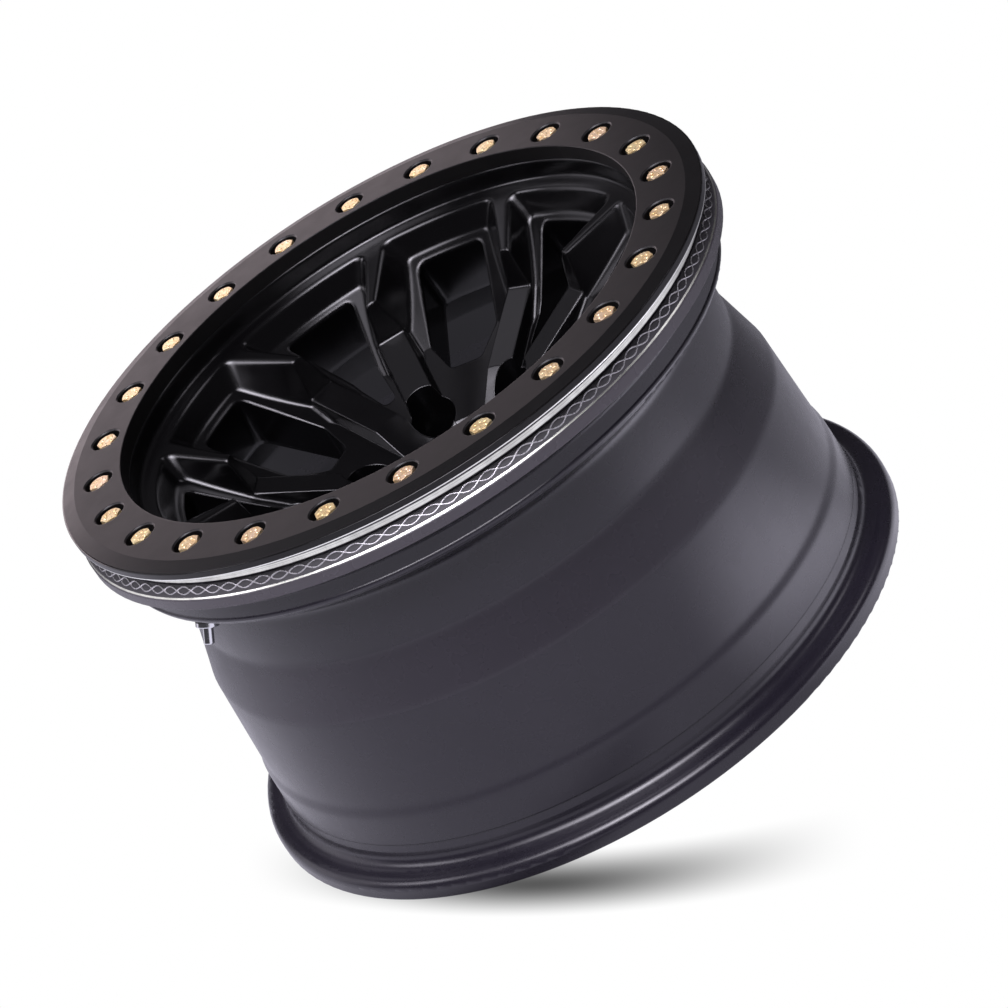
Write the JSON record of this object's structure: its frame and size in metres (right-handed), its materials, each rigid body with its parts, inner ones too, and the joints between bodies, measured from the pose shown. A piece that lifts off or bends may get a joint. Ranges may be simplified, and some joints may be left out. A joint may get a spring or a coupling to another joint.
{
  "type": "beadlock wheel",
  "caption": "Off-road car wheel with a bolted clamping ring on its front edge, V-shaped spokes in a deep dish, a lug-bolt hub and a deep drop-centre barrel.",
  "frame": {"origin": "centre of the rear lip's flat rest face, on the wheel's axis", "axes": "+Z along the wheel's axis out of the spoke face; +X through the middle of one V of the spokes and one lug hole, opposite the valve"},
  "size_m": [0.472, 0.472, 0.277],
  "materials": {
    "black_casting": "satin black coat over cast aluminium, bare turned edge by the ring",
    "black_ring": "satin black coat",
    "plated_steel": "yellow zinc plate",
    "bright_stem": "polished",
    "plain_steel": "bright",
    "black_rubber": "matt",
    "core_brass": "plain"
  },
  "bodies": {
    "root": {"wheel": "black_casting", "beadlock_ring": "black_ring", "beadlock_bolts": "plated_steel", "valve_stem": "bright_stem", "valve_grommet": "black_rubber", "valve_washer": "plain_steel", "valve_nut": "bright_stem", "valve_core": "core_brass", "valve_cap": "bright_stem"}
  },
  "joints": []
}
